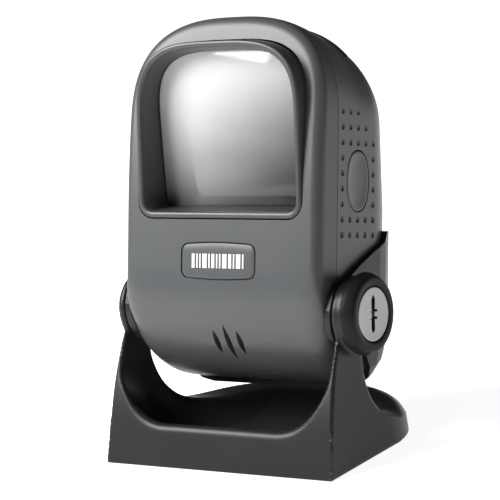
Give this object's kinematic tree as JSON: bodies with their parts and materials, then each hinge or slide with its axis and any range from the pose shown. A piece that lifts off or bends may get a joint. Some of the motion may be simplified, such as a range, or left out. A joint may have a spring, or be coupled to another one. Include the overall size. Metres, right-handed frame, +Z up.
{
  "type": "presentation barcode scanner",
  "caption": "Hands-free counter barcode scanner: a laser scan head with a large window and side triggers, in a cup-shaped cradle that tilts on a weighted yoke stand with a knob.",
  "frame": {"origin": "on the table, under the middle of the whole object at rest", "axes": "+Z up; the scan window faces -Y; +X is to the right as seen from the front, the side of the tilt knob"},
  "size_m": [0.1036, 0.0836, 0.1528],
  "materials": {
    "shell_grey": "satin charcoal-grey moulded plastic",
    "stand_black": "satin near-black moulded plastic",
    "knob_black": "fine-textured near-black plastic",
    "brushed_disc": "fine brushed, silver",
    "zinc_steel": "zinc plated",
    "rubber": "matt black rubber",
    "nylon": "natural nylon",
    "window_glass": "clear flat glass with a faint smoke tint",
    "smoked_lens": "smoked clear plastic",
    "mirror": "front-silvered",
    "circuit_board": "green solder mask",
    "brass": "turned brass",
    "cast_frame": "bead-blasted die casting",
    "socket_black": "black glass-filled plastic"
  },
  "bodies": {
    "stand": {"yoke_stand": "stand_black", "base_weight": "zinc_steel", "base_cover": "stand_black", "foot_front_left": "rubber", "foot_front_right": "rubber", "foot_rear_left": "rubber", "foot_rear_right": "rubber", "base_screw_front_left": "zinc_steel", "base_screw_front_right": "zinc_steel", "base_screw_rear_left": "zinc_steel", "base_screw_rear_right": "zinc_steel", "friction_washer_left": "nylon", "friction_washer_right": "nylon", "pivot_pin_left": "zinc_steel", "hub_cap_left": "stand_black"},
    "tilt_knob": {"tilt_knob": "knob_black", "knob_disc": "brushed_disc", "pivot_bolt_right": "zinc_steel"},
    "cradle": {"cradle": "stand_black"},
    "scan_head": {"front_shell": "shell_grey", "window_bezel": "shell_grey", "window_gasket": "rubber", "window_glass": "window_glass", "badge_plate": "shell_grey", "rear_shell": "shell_grey", "status_light_bar": "smoked_lens", "shell_screw_lower_left": "zinc_steel", "shell_screw_lower_right": "zinc_steel", "shell_screw_upper_left": "zinc_steel", "shell_screw_upper_right": "zinc_steel", "optics_frame": "cast_frame", "spindle_motor": "cast_frame", "pattern_mirror_1": "mirror", "pattern_mirror_2": "mirror", "pattern_mirror_3": "mirror", "pattern_mirror_4": "mirror", "pattern_mirror_5": "mirror", "collecting_mirror": "mirror", "photodiode_board": "circuit_board", "laser_module": "brass", "main_board": "circuit_board", "io_board": "circuit_board", "buzzer": "socket_black", "cable_socket": "socket_black", "trigger_board_left": "circuit_board", "trigger_board_right": "circuit_board", "trigger_switch_left": "socket_black", "trigger_switch_right": "socket_black"},
    "polygon": {"polygon_mirror": "mirror"},
    "trigger_left": {"trigger_button_left": "shell_grey"},
    "trigger_right": {"trigger_button_right": "shell_grey"}
  },
  "joints": [
    {"name": "head_tilt", "type": "hinge", "parent": "stand", "child": "cradle", "pos_m": [-0.00225, -0.0117, 0.0509], "axis": [-1, 0, 0], "range_deg": [-24, 31]},
    {"name": "head_lift", "type": "slide", "parent": "cradle", "child": "scan_head", "axis": [0, 0.2419, 0.9703], "range_m": [0, 0.025]},
    {"name": "knob_turn", "type": "hinge", "parent": "stand", "child": "tilt_knob", "pos_m": [-0.00225, -0.0117, 0.0509], "axis": [1, 0, 0], "range_deg": [0, 180]},
    {"name": "polygon_spin", "type": "hinge", "parent": "scan_head", "child": "polygon", "pos_m": [-0.00225, 0.0075, 0.07002], "axis": [0, 0.2419, 0.9703], "continuous": true},
    {"name": "trigger_left_press", "type": "slide", "parent": "scan_head", "child": "trigger_left", "axis": [1, 0, 0], "range_m": [0, 0.001], "stiffness_N_per_m": 1200, "springref_m": -0.0005},
    {"name": "trigger_right_press", "type": "slide", "parent": "scan_head", "child": "trigger_right", "axis": [-1, 0, 0], "range_m": [0, 0.001], "stiffness_N_per_m": 1200, "springref_m": -0.0005}
  ]
}
